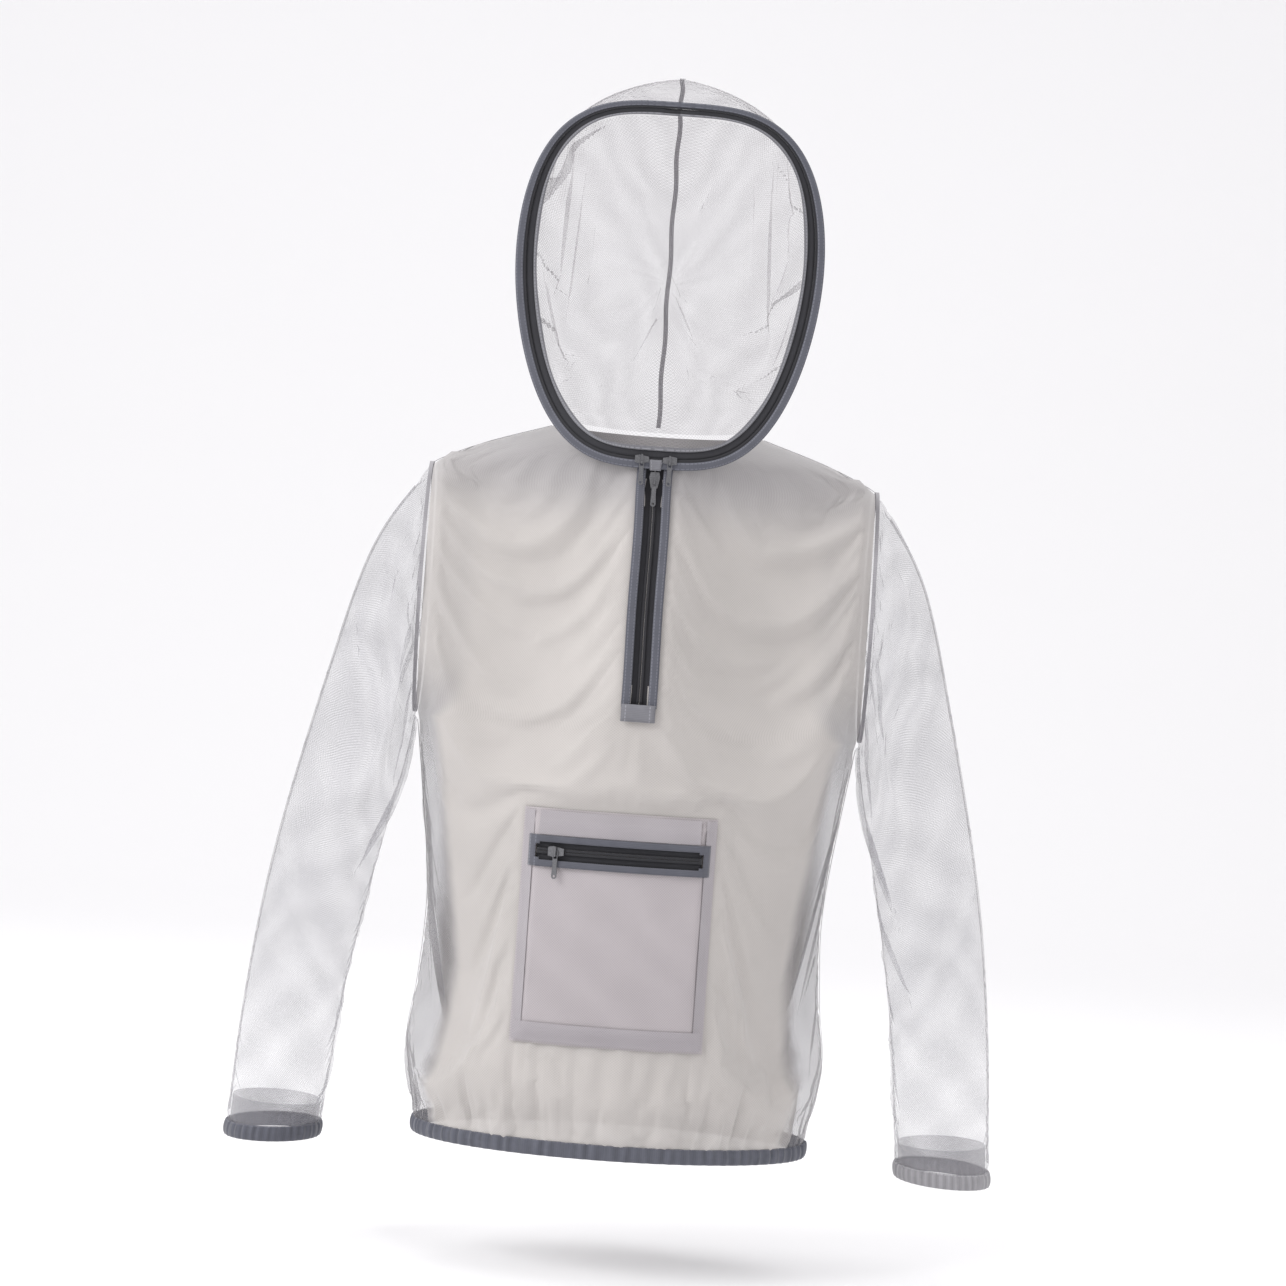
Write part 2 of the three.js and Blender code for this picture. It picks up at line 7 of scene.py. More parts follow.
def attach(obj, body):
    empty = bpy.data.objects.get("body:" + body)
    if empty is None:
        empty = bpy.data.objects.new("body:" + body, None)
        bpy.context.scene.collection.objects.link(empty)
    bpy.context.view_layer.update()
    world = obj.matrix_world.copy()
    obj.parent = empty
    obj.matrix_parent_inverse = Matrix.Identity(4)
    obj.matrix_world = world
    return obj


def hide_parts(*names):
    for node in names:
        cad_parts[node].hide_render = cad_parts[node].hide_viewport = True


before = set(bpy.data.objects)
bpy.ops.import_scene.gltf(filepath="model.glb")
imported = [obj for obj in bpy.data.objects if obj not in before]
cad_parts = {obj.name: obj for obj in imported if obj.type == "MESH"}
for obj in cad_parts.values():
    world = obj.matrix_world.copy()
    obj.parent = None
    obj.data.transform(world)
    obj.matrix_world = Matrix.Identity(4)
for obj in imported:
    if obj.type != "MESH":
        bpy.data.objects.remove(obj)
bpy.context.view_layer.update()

# ---------------------------------------------------------------- body cloth
# The body is a front and a back panel of fine knitted mesh, cut wide and gathered at the hem.
# The front panel is slit at the middle for the half zip. Both panels are sewn at the sides
# and over the shoulders, where the drape holds them; each panel is draped on its own.


def curve(stops):
    """A smooth curve through (place, value) stops."""
    def at(x):
        x = min(max(x, stops[0][0]), stops[-1][0])
        i = max(k for k in range(len(stops) - 1) if stops[k][0] <= x)
        (x0, y0), (x1, y1) = stops[i], stops[i + 1]
        before = stops[max(i - 1, 0)]
        after = stops[min(i + 2, len(stops) - 1)]
        m0 = (y1 - before[1]) / (x1 - before[0])
        m1 = (after[1] - y0) / (after[0] - x0)
        t, d = (x - x0) / (x1 - x0), x1 - x0
        return ((2 * t**3 - 3 * t**2 + 1) * y0 + (t**3 - 2 * t**2 + t) * d * m0
                + (3 * t**2 - 2 * t**3) * y1 + (t**3 - t**2) * d * m1)
    return at


HEM_Z, ARMPIT_Z, ARMHOLE_X = -0.684, -0.283, 0.210
body_half_width = curve([
    (HEM_Z, 0.186), (-0.662, 0.186), (-0.625, 0.193), (-0.589, 0.197), (-0.541, 0.191), (-0.469, 0.187),
    (-0.421, 0.190), (-0.311, 0.205), (ARMPIT_Z, 0.210), (-0.240, 0.226), (-0.160, 0.232),
    (-0.090, 0.230), (-0.050, 0.216), (-0.025, 0.168), (0, 0.093)])
body_half_depth = curve([
    (HEM_Z, 0.107), (-0.662, 0.107), (-0.625, 0.115), (-0.589, 0.118), (-0.469, 0.113), (-0.380, 0.116),
    (-0.290, 0.120), (-0.200, 0.1104), (-0.100, 0.0997), (-0.040, 0.0933), (0, 0.089)])


def body_at(angle, z, off=0.0):
    """A point of the body. angle is 0 at the middle front and a quarter turn at +X."""
    t = min(max((z + 0.110) / 0.110, 0), 1)
    drop = 0.030 * max(0, math.cos(angle)) ** 2 * t * t * (3 - 2 * t)
    height = z - drop
    return Vector(((body_half_width(z) + off) * math.sin(angle),
                   -(body_half_depth(height) + off) * math.cos(angle), height))


def bent_sheet(name, place, across, along, width, length, loop=False):
    """A grid bent so that (u, v), both 0 to 1, goes to place(u, v). Its UV is in metres."""
    bm = bmesh.new()
    bmesh.ops.create_grid(bm, x_segments=across, y_segments=along, size=0.5)
    uv = bm.loops.layers.uv.new("cut")
    for f in bm.faces:
        for c in f.loops:
            c[uv].uv = ((c.vert.co.x + 0.5) * width, (c.vert.co.y + 0.5) * length)
    for v in bm.verts:
        v.co = place(v.co.x + 0.5, v.co.y + 0.5)
    if loop:
        bmesh.ops.remove_doubles(bm, verts=bm.verts, dist=1e-5)
    bmesh.ops.recalc_face_normals(bm, faces=bm.faces)
    for f in bm.faces:
        f.smooth = True
    mesh = bpy.data.meshes.new(name)
    bm.to_mesh(mesh)
    bm.free()
    made = bpy.data.objects.new(name, mesh)
    bpy.context.scene.collection.objects.link(made)
    return made


def drape(cloth, held, more=0.03, frames=28, gravity=0.3):
    """Lets the cloth buckle between the places it is held at. more is the spare cloth in it."""
    group = cloth.vertex_groups.new(name="held")
    for v in cloth.data.vertices:
        group.add([v.index], held(v.co), "REPLACE")
    mod = cloth.modifiers.new("drape", "CLOTH")
    s = mod.settings
    s.quality, s.mass, s.vertex_group_mass = 5, 0.12, "held"
    s.tension_stiffness = s.compression_stiffness = 12
    s.shear_stiffness, s.bending_stiffness = 4, 0.25
    s.shrink_min = s.shrink_max = -more
    s.effector_weights.gravity = gravity
    mod.collision_settings.use_self_collision = False
    mod.collision_settings.distance_min = 0.002
    mod.point_cache.frame_start, mod.point_cache.frame_end = 1, frames
    scene = bpy.context.scene
    for f in range(1, frames + 1):
        scene.frame_set(f)
    bpy.context.view_layer.objects.active = cloth
    bpy.ops.object.modifier_apply(modifier="drape")
    cloth.vertex_groups.clear()
    scene.frame_set(1)


TOP, BOTTOM = 0.0, -0.673
ROWS = 130


def body_row(v):
    z = BOTTOM + (TOP - BOTTOM) * v
    reach = math.asin(min(1, ARMHOLE_X / body_half_width(z))) - 0.004
    return z, reach


def gather(angle, z):
    """How far the cloth stands out in the folds that fan up from the hem elastic."""
    rise = min(max((z - BOTTOM) / 0.012, 0), 1) * math.exp(-(z - BOTTOM) / 0.075)
    fold = noise.noise(Vector((math.sin(angle) * 13, math.cos(angle) * 13, z * 4)))
    fine = noise.noise(Vector((math.sin(angle) * 30, math.cos(angle) * 30, z * 7 + 5)))
    return rise * (0.0085 * fold + 0.0055 * fine)


def body_half(name, middle):
    def place(u, v):
        z, reach = body_row(v)
        angle = middle + (2 * u - 1) * reach
        return body_at(angle, z, 0.001 + gather(angle, z))
    return bent_sheet(name, place, 150, ROWS, 0.50, 0.673)


def body_held(co):
    z, x, y = co.z, co.x, co.y
    near = 0.0
    near = max(near, 1 - max(0, z + 0.672) / 0.012, 1 - max(0, -0.012 - z) / 0.03)
    if z > ARMPIT_Z - 0.01:
        near = max(near, 1 - max(0, 0.206 - abs(x)) / 0.012)
    near = max(near, 1 - abs(y) / 0.012)
    if y < 0 and z > -0.285:
        near = max(near, 1 - max(0, abs(x) - 0.016) / 0.012)
    if y < 0 and -0.585 < z < -0.355 and -0.104 < x < 0.087:
        near = 1.0
    return min(max(near, 0), 1)


front_cloth = body_half("front_body_cloth", 0)
back_cloth = body_half("back_body_cloth", math.pi)
bm = bmesh.new()
bm.from_mesh(front_cloth.data)
slit = [f for f in bm.faces if abs(f.calc_center_median().x) < 0.009 and f.calc_center_median().z > -0.268]
bmesh.ops.delete(bm, geom=slit, context="FACES")
bm.to_mesh(front_cloth.data)
bm.free()
drape(front_cloth, body_held, more=0.022)
drape(back_cloth, body_held, more=0.03)


def shader(name):
    """A new material with its node tree, its Principled node and a way to add nodes."""
    m = bpy.data.materials.new(name)
    m.use_nodes = True
    tree = m.node_tree
    p = tree.nodes["Principled BSDF"]

    def node(kind, **values):
        n = tree.nodes.new("ShaderNode" + kind)
        for key, value in values.items():
            if hasattr(n, key):
                setattr(n, key, value)
            else:
                n.inputs[key].default_value = value
        return n
    return m, tree, p, node


def joined(tree, node, op, a, b=None):
    """A Math node on two sockets or numbers."""
    n = node("Math", operation=op)
    for i, value in enumerate((a, b)):
        if value is None:
            continue
        if isinstance(value, (int, float)):
            n.inputs[i].default_value = value
        else:
            tree.links.new(value, n.inputs[i])
    return n.outputs[0]


def mesh_cloth(name, colour, cover, grain=0.06, pitch=0.0024, edge=None):
    """Fine see-through knit. cover is the share of it that is thread, grain its shading in bands.
    edge is the cover along the two long sides of a body panel, where nothing lines it."""
    m, tree, p, node = shader(name)
    link = tree.links.new
    place = node("TexCoord").outputs["UV"]
    parts = node("SeparateXYZ")
    link(place, parts.inputs[0])
    waves = [joined(tree, node, "SINE", joined(tree, node, "MULTIPLY", parts.outputs[i], math.tau / pitch))
             for i in (0, 1)]
    knit = joined(tree, node, "MULTIPLY", *waves)
    bands = node("TexWave", wave_type="BANDS", bands_direction="DIAGONAL", Scale=9.0, Distortion=9.0,
                 Detail=2.0)
    bands.inputs["Detail Scale"].default_value = 0.7
    link(place, bands.inputs["Vector"])
    cloud = node("TexNoise", Scale=7.0, Detail=4.0)
    link(place, cloud.inputs["Vector"])
    band = joined(tree, node, "MULTIPLY", joined(tree, node, "SUBTRACT", bands.outputs["Fac"], 0.5), grain)
    soft = joined(tree, node, "MULTIPLY", joined(tree, node, "SUBTRACT", cloud.outputs["Fac"], 0.5), 0.16)
    alpha = joined(tree, node, "ADD", joined(tree, node, "MULTIPLY", knit, 0.13), cover)
    alpha = joined(tree, node, "ADD", alpha, joined(tree, node, "ADD", band, soft))
    mix = node("Mix", data_type="RGBA")
    mix.inputs[6].default_value = (*[c * 0.84 for c in colour], 1)
    mix.inputs[7].default_value = (*colour, 1)
    link(cloud.outputs["Fac"], mix.inputs[0])
    out = mix.outputs[2]
    if edge:
        beside = joined(tree, node, "ABSOLUTE", joined(tree, node, "SUBTRACT", parts.outputs[0], 0.25))
        side = node("MapRange", interpolation_type="SMOOTHSTEP")
        side.inputs["From Min"].default_value, side.inputs["From Max"].default_value = 0.160, 0.192
        blurred = joined(tree, node, "ADD", beside, joined(tree, node, "MULTIPLY", soft, 0.12))
        link(blurred, side.inputs["Value"])
        # Painted shade: the top of each body panel, towards the shoulders, is greyed as if in shadow. The
        # bare sides below the chest are greyed to the net's own colour.
        top = node("MapRange", interpolation_type="SMOOTHSTEP")
        top.inputs["From Min"].default_value, top.inputs["From Max"].default_value = 0.56, 0.66
        link(parts.outputs[1], top.inputs["Value"])
        chest = node("MapRange", interpolation_type="SMOOTHSTEP")
        chest.inputs["From Min"].default_value, chest.inputs["From Max"].default_value = 0.33, 0.46
        chest.inputs["To Min"].default_value, chest.inputs["To Max"].default_value = 1, 0.12
        link(parts.outputs[1], chest.inputs["Value"])
        bare = joined(tree, node, "MULTIPLY", side.outputs[0], chest.outputs[0])
        alpha = joined(tree, node, "SUBTRACT", alpha, joined(tree, node, "MULTIPLY", bare, cover - edge))
        bare_grey_and_shoulder_shade = node("Mix", data_type="RGBA")
        bare_grey_and_shoulder_shade.inputs[7].default_value = (0.27, 0.262, 0.275, 1)
        link(joined(tree, node, "MAXIMUM", bare, joined(
            tree, node, "MULTIPLY", top.outputs[0], 0.7)), bare_grey_and_shoulder_shade.inputs[0])
        link(out, bare_grey_and_shoulder_shade.inputs[6])
        out = bare_grey_and_shoulder_shade.outputs[2]
    hold = node("Clamp")
    link(alpha, hold.inputs["Value"])
    link(hold.outputs[0], p.inputs["Alpha"])
    link(out, p.inputs["Base Color"])
    p.inputs["Roughness"].default_value = 0.85
    p.inputs["Sheen Weight"].default_value = 0.35
    return m


def finished(obj, material, slot, *nodes, body="jacket"):
    obj.data.materials.clear()
    obj.data.materials.append(material)
    if nodes:
        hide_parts(*nodes)
    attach(obj, body)
    return obj


body_mesh = mesh_cloth("body mesh", (0.50, 0.474, 0.456), 0.965, grain=0.03, edge=0.36)
finished(front_cloth, body_mesh, "body_mesh", "front_body_panel")
finished(back_cloth, body_mesh, "body_mesh", "back_body_panel")


# ---------------------------------------------------------------- hem and cuff bands
# The lower edge of the body and the ends of the sleeves are folded over an elastic and
# stitched down, so the slate casing puckers all round and pulls the cloth into gathers.


def band_cloth(name, colour, rib=0.0016, rows=(), pitch=0.0032, pucker_shade_pitch=0.0):
    """Woven binding. rows are the places of its stitch lines across it, in metres."""
    m, tree, p, node = shader(name)
    link = tree.links.new
    place = node("TexCoord").outputs["UV"]
    parts = node("SeparateXYZ")
    link(place, parts.inputs[0])
    across, along = parts.outputs[0], parts.outputs[1]
    ribs = joined(tree, node, "SINE", joined(tree, node, "MULTIPLY", along, math.tau / rib))
    cloud = node("TexNoise", Scale=60.0, Detail=5.0)
    link(place, cloud.inputs["Vector"])
    tone = joined(tree, node, "MULTIPLY", joined(tree, node, "SUBTRACT", cloud.outputs["Fac"], 0.5), 0.7)
    tone = joined(tree, node, "ADD", tone, joined(tree, node, "MULTIPLY", ribs, 0.10))
    tone = joined(tree, node, "ADD", tone, 0.5)
    # Painted shade and highlight: the colour is banded darker and lighter along the band at this pitch, for
    # the light and shade on its puckers. The same bands also feed the bump.
    if pucker_shade_pitch:
        fold = joined(tree, node, "SINE", joined(tree, node, "MULTIPLY", along, math.tau / pucker_shade_pitch))
        tone = joined(tree, node, "ADD", tone, joined(tree, node, "MULTIPLY", fold, 0.22))
    mix = node("Mix", data_type="RGBA")
    mix.inputs[6].default_value = (*[c * 0.68 for c in colour], 1)
    mix.inputs[7].default_value = (*[min(1, c * 1.3) for c in colour], 1)
    link(tone, mix.inputs[0])
    out = mix.outputs[2]
    for row in rows:
        near = joined(tree, node, "ABSOLUTE", joined(tree, node, "SUBTRACT", across, row))
        line = joined(tree, node, "LESS_THAN", near, 0.0005)
        dash = joined(tree, node, "GREATER_THAN", joined(
            tree, node, "SINE", joined(tree, node, "MULTIPLY", along, math.tau / pitch)), -0.55)
        thread = node("Mix", data_type="RGBA")
        thread.inputs[7].default_value = (*[min(1, c * 1.45 + 0.02) for c in colour], 1)
        link(joined(tree, node, "MULTIPLY", line, dash), thread.inputs[0])
        link(out, thread.inputs[6])
        out = thread.outputs[2]
    link(out, p.inputs["Base Color"])
    bump = node("Bump", Strength=0.35, Distance=0.0004)
    link(tone, bump.inputs["Height"])
    link(bump.outputs[0], p.inputs["Normal"])
    p.inputs["Roughness"].default_value = 0.82
    p.inputs["Sheen Weight"].default_value = 0.25
    return m


def puckered(name, path, width, count, depth, girth):
    """A rounded fold that runs round path(angle, out, up) and is drawn in and out by its elastic."""
    def place(u, v):
        angle, turn = v * math.tau, u * math.tau
        draw = depth * (math.sin(count * angle) + 0.5 * math.sin(count * 1.7 * angle + 1.0))
        out = 0.0016 + 0.0024 * math.cos(turn) + draw * (0.4 + 0.6 * (math.sin(turn) + 1) / 2)
        return path(angle, out, width * (0.5 + 0.5 * math.sin(turn)))
    return bent_sheet(name, place, 16, count * 8, width * 2.2, girth, loop=True)


def hem_path(angle, out, up):
    p = body_at(angle, HEM_Z + 0.001)
    return Vector((p.x + math.sin(angle) * out, p.y - math.cos(angle) * out, HEM_Z + up))


slate_hem = band_cloth("slate hem", (0.082, 0.086, 0.108), rows=(0.0062,), pucker_shade_pitch=0.0085)
hem = puckered("hem_band", hem_path, 0.0145, 84, 0.0011, 0.94)
finished(hem, slate_hem, "slate_binding", "hem_casing", "hem_elastic")

# ---------------------------------------------------------------- sleeves
# Each sleeve is one piece of the same knitted mesh, sewn along the underarm and set into the
# armhole. The cut is wider than the cuff, so it falls in soft folds towards the elastic.


def through(stops):
    xs = curve([(i / (len(stops) - 1), s[0]) for i, s in enumerate(stops)])
    zs = curve([(i / (len(stops) - 1), s[1]) for i, s in enumerate(stops)])
    return lambda t: Vector((xs(t), 0, zs(t)))


sleeve_outer = through([(0.213, -0.047), (0.264, -0.130), (0.300, -0.258), (0.336, -0.420), (0.355, -0.560),
                        (0.365, -0.700)])
sleeve_inner = through([(0.213, -0.282), (0.219, -0.325), (0.233, -0.390), (0.252, -0.480), (0.268, -0.580),
                        (0.279, -0.697)])
sleeve_half_depth = curve([(0, 0.047), (0.2, 0.062), (0.4, 0.064), (0.6, 0.058), (0.8, 0.050), (1, 0.046)])


def sleeve_at(side, angle, t, out=0.0):
    """A point of the sleeve. t is 0 at the armhole and 1 at the cuff, angle 0 at its outer edge."""
    top, low = sleeve_outer(t), sleeve_inner(t)
    middle, half = (top + low) / 2, (top - low) / 2
    p = half * math.cos(angle) + Vector((0, sleeve_half_depth(t) * math.sin(angle), 0))
    p = middle + p + p.normalized() * out
    return Vector((p.x * side, p.y, p.z))


def sleeve_held(co):
    armhole = 1 - max(0, abs(co.x) - 0.214) / 0.012 if co.z > -0.29 else 0
    seam = 1 - abs(co.y) / 0.010
    return min(max(armhole, seam, 1 - max(0, co.z + 0.690) / 0.012, 0), 1)


sleeve_mesh = mesh_cloth("sleeve mesh", (0.32, 0.315, 0.345), 0.22, grain=0.10)
seam_mesh = mesh_cloth("seam mesh", (0.24, 0.235, 0.255), 0.44, grain=0.10)
slate_cuff = band_cloth("slate cuff", (0.072, 0.075, 0.095), rows=(0.006,), pucker_shade_pitch=0.007)
grey_cuff = band_cloth("grey cuff", (0.26, 0.255, 0.27), rows=(0.006,), pucker_shade_pitch=0.007)
slate_seam = band_cloth("slate seam", (0.30, 0.292, 0.31))
for name, side, cuff_cloth in (("left", 1, grey_cuff), ("right", -1, slate_cuff)):
    sleeve = bent_sheet(name + "_sleeve_cloth", lambda u, v: sleeve_at(side, u * math.tau, v * 0.984, 0.001),
                        60, 110, 0.36, 0.63, loop=True)
    drape(sleeve, sleeve_held, more=0.05, gravity=0.2)
    finished(sleeve, sleeve_mesh, "sleeve_mesh", name + "_sleeve")

    end, before = (sleeve_outer(1) + sleeve_inner(1)) / 2, (sleeve_outer(0.97) + sleeve_inner(0.97)) / 2
    back = (before - end).normalized()

    def cuff_path(angle, out, up):
        p = sleeve_at(side, angle, 1, out)
        return p + Vector((back.x * side, back.y, back.z)) * up
    cuff = puckered(name + "_cuff_band", cuff_path, 0.0145, 34, 0.0006, 0.28)
    finished(cuff, cuff_cloth, "slate_binding", name + "_cuff_casing", name + "_cuff_elastic")

    # The allowance turned in above the cuff, which shows as a paler double layer.
    facing = bent_sheet(
        name + "_cuff_facing", lambda u, v: sleeve_at(side, u * math.tau, 0.944 + 0.035 * v, -0.0012),
        60, 4, 0.28, 0.02, loop=True)
    finished(facing, seam_mesh, "sleeve_mesh")

    # Flat-felled seams: round the armhole, and a double strip down both edges of the sleeve.
    def round_armhole(u, v):
        return sleeve_at(side, v * math.tau, 0.0, 0.0030) + Vector((side * (u * 0.0036 - 0.001), 0, 0))
    armhole = bent_sheet(name + "_armhole_tape", round_armhole, 2, 96, 0.0036, 0.5, loop=True)
    finished(armhole, slate_seam, "slate_binding", name + "_armhole_seam")
    under = bent_sheet(name + "_underarm_tape",
                       lambda u, v: sleeve_at(side, math.pi + (2 * u - 1) * 0.11, 0.03 + 0.94 * v, 0.0022),
                       4, 90, 0.012, 0.58)
    finished(under, seam_mesh, "slate_binding", name + "_underarm_seam")
    outer = bent_sheet(name + "_sleeve_top_strip",
                       lambda u, v: sleeve_at(side, (2 * u - 1) * 0.20, 0.06 + 0.91 * v, 0.0022),
                       4, 90, 0.02, 0.58)
    finished(outer, seam_mesh, "sleeve_mesh")

# ---------------------------------------------------------------- body seams
# The sides and shoulders are overlocked and stitched flat. They show as narrow darker strips.

for name, turn in (("left", 1), ("right", -1)):
    side_tape = bent_sheet(name + "_side_tape", lambda u, v: body_at(
        turn * (math.pi / 2 + (2 * u - 1) * 0.03), -0.667 + 0.375 * v, 0.0028), 2, 70, 0.007, 0.38)
    finished(side_tape, slate_seam, "slate_binding", name + "_side_seam")
    shoulder = bent_sheet(name + "_shoulder_tape", lambda u, v: body_at(
        turn * (math.pi / 2 + (2 * u - 1) * 0.03), -0.046 + 0.044 * v, 0.003), 2, 24, 0.006, 0.12)
    finished(shoulder, slate_seam, "grey_binding", name + "_shoulder_seam")


# ---------------------------------------------------------------- hood
# Two halves of the same mesh, joined by a seam from the rim over the crown to the back of the
# neck. The hood is cut deep and roomy, so it falls in a few long creases.

RING_MID_Y, RING_MID_Z = -0.064, 0.1295


def ring_at(angle, out=0.0, forward=0.0):
    """A point on the line of the face opening. angle is 0 at the top and half a turn at the chin."""
    def line(a):
        s, c = math.sin(a), math.cos(a)
        return Vector((0.150 * (0.9 + 0.1 * c) * math.copysign(abs(s) ** 0.58, s),
                       RING_MID_Y - 0.032 * c * c, RING_MID_Z + 0.1635 * c))
    along = line(angle + 0.02) - line(angle - 0.02)
    along.y = 0
    along.normalize()
    return line(angle) + Vector((-along.z * out, -forward, along.x * out))


def hood_back(turn):
    return Vector((0, -0.020 + 0.150 * math.cos(turn), 0.1255 + 0.2065 * math.sin(turn)))


def pleated(t, middle, width, depth):
    """Doubles the way t back on itself over a width about a middle, three layers deep."""
    s = (t - middle) / width
    if abs(s) >= 1 or depth <= 0:
        return t
    if s < -1 / 3:
        return middle + width * (-1 + (depth + 1) * (s + 1) * 1.5)
    if s > 1 / 3:
        return middle + width * (1 - (depth + 1) * (1 - s) * 1.5)
    return middle - width * depth * s * 3


def hood_at(side, up, round_):
    """A point of the hood. up runs from the neck to the crown, round_ from the ring to the back."""
    for middle, width, most, reach in HOOD_PLEATS[side]:
        lie = 0.30 * (round_ - 0.1) * (1 if middle > 0.5 else -1)
        up = pleated(up, middle + lie, width * max(0.02, 1 - round_ / reach), most if round_ < reach else 0)
    rim = ring_at(math.acos(-0.7615) * (1 - up) + 0.0008 * up, 0.001)
    back = hood_back(math.radians(-35.7 + 132.7 * up))
    turn = round_ * math.pi / 2
    x = max(math.cos(turn), 0) ** 0.85
    return Vector((side * (0.0003 + (rim.x - 0.0003) * x),
                   rim.y + 0.002 + (back.y - rim.y - 0.002) * math.sin(turn),
                   rim.z + (back.z - rim.z) * math.sin(turn) ** (1.5 - 0.75 * up)))


# Each pleat of a half: its middle up the half, its width, how deep it doubles and how far back it runs.
HOOD_PLEATS = {1: ((0.70, 0.110, 0.55, 0.60), (0.40, 0.022, 0.60, 0.75), (0.88, 0.016, 0.6, 0.85),
                   (0.55, 0.014, 0.6, 0.80), (0.25, 0.016, 0.6, 0.6)),
               -1: ((0.56, 0.105, 0.55, 0.66), (0.80, 0.022, 0.60, 0.85), (0.30, 0.018, 0.6, 0.7),
                    (0.42, 0.012, 0.6, 0.80), (0.68, 0.014, 0.6, 0.9))}


def hood_held(co):
    rim = min((co - p).length for p in RIM)
    near = max(1 - rim / 0.03, 1 - abs(co.x) / 0.006, 1 - max(0, co.z - 0.006) / 0.012,
               0.5 if co.z > 0.27 else 0)
    return min(max(near, 0), 1)


RIM = [ring_at(math.tau * k / 90) for k in range(90)]
hood_mesh = mesh_cloth("hood mesh", (0.25, 0.235, 0.255), 0.23, grain=0.08)
for name, side in (("left", 1), ("right", -1)):
    half = bent_sheet("hood_" + name + "_cloth", lambda u, v: hood_at(side, v, u), 90, 150, 0.30, 0.42)
    drape(half, hood_held, more=0.05, gravity=0.15)
    finished(half, hood_mesh, "sleeve_mesh", "hood_" + name + "_panel")

seam_cloth = band_cloth("hood seam", (0.23, 0.225, 0.24), rows=(0.002, 0.005))
seam = bent_sheet("hood_seam_tape", lambda u, v: hood_back(math.radians(-34 + 137 * v)) * 1.004
                  + Vector(((u - 0.5) * 0.0045 + 0.0008 * math.sin(v * 40), 0, 0)), 2, 80, 0.007, 0.45)
finished(seam, seam_cloth, "grey_binding", "hood_centre_seam")

# ---------------------------------------------------------------- face veil and its ring zip
# The veil is a single layer of open net set in an egg-shaped zip, so it can be opened and folded
# down. A grey binding covers its edge, then come two black tapes with the nylon coil between
# them, and a slate binding where the outer tape is sewn to the hood.

veil_mesh = mesh_cloth("veil mesh", (0.30, 0.28, 0.30), 0.12, grain=0.05, pitch=0.003)


def veil_place(u, v):
    share = 0.004 + 0.996 * u
    inside = min(1, share / 0.9)
    at = ring_at(v * math.tau, -0.008 * share)
    p = Vector((0, RING_MID_Y - 0.016, RING_MID_Z)).lerp(at, share)
    crease = 0.004 * noise.noise(Vector((p.x * 9, p.z * 5, 1.3))) * (1 - inside**4)
    return p + Vector((0, 0.0018 - 0.024 * (1 - inside * inside) + crease, 0))


veil = bent_sheet("veil_net", veil_place, 40, 120, 0.15, 0.9, loop=True)
finished(veil, veil_mesh, "sleeve_mesh", "face_veil")


def strap(name, place, width, length, across, along, thick=0.0009, loop=False):
    """A narrow woven strip with its own thickness."""
    made = bent_sheet(name, place, across, along, width, length, loop)
    bm = bmesh.new()
    bm.from_mesh(made.data)
    bmesh.ops.solidify(bm, geom=bm.faces[:], thickness=-thick)
    bmesh.ops.recalc_face_normals(bm, faces=bm.faces)
    bm.to_mesh(made.data)
    bm.free()
    return made


def ring_strap(name, near, far, forward, slim=0.62):
    def place(u, v):
        c = math.cos(v * math.tau)
        narrow = 1 - (1 - slim) * max(c, 0) ** 1.5
        wobble = 0.0005 * math.sin(v * 60) if near < -0.008 else 0
        return ring_at(v * math.tau, (near + (far - near) * u + wobble * (1 - u)) * narrow, forward)
    return strap(name, place, far - near, 0.95, 3, 240, loop=True)


zip_tape = band_cloth("zip tape", (0.018, 0.018, 0.023), rib=0.0011)
zip_coil = band_cloth("zip coil", (0.012, 0.012, 0.016), rib=0.0014)
grey_band = band_cloth("grey band", (0.14, 0.14, 0.155), rows=(0.0022,))
slate_band = band_cloth("slate band", (0.080, 0.083, 0.103), rows=(0.0012, 0.0062))
finished(ring_strap("veil_edge_binding", -0.0120, -0.0085, 0.0022), grey_band,
         "grey_binding", "ring_inner_binding")
finished(ring_strap("veil_zip_inner_tape", -0.0100, -0.0012, 0.0008), zip_tape,
         "zip_black", "ring_zip_inner_tape")
finished(ring_strap("veil_zip_outer_tape", 0.0012, 0.0060, 0.0008), zip_tape,
         "zip_black", "ring_zip_outer_tape")
finished(ring_strap("veil_zip_coil", -0.0014, 0.0014, 0.0022), zip_coil, "zip_black", "ring_zip_coil")
finished(ring_strap("hood_edge_binding", 0.0012, 0.0086, 0.0026), slate_band,
         "slate_binding", "ring_outer_binding")

# ---------------------------------------------------------------- chin tab and end tab
# Short folded pieces of grey tape that close the two ends of the front zip.

tab_cloth = band_cloth("tab tape", (0.16, 0.16, 0.178), rows=(0.004, 0.026))
chin = ring_at(math.pi)


def chin_place(u, v):
    half = 0.0050 + 0.0010 * v
    return Vector(((2 * u - 1) * half, chin.y - 0.0036, chin.z - 0.0100 + 0.010 * v))


finished(strap("chin_tape", chin_place, 0.026, 0.010, 6, 4), tab_cloth, "grey_binding", "chin_tab")


def front_at(x, z, off):
    return body_at(math.asin(x / body_half_width(z)), z, off)


finished(strap("end_tape", lambda u, v: front_at((2 * u - 1) * 0.0155, -0.277 + 0.016 * v, 0.0052),
               0.031, 0.016, 8, 4), tab_cloth, "grey_binding", "front_zip_end_tab")

# ---------------------------------------------------------------- front half zip
# A closed-end nylon coil zip. Its black tapes lie behind the slit, and the cut edges of the
# front are covered with slate binding, stitched close to the teeth.


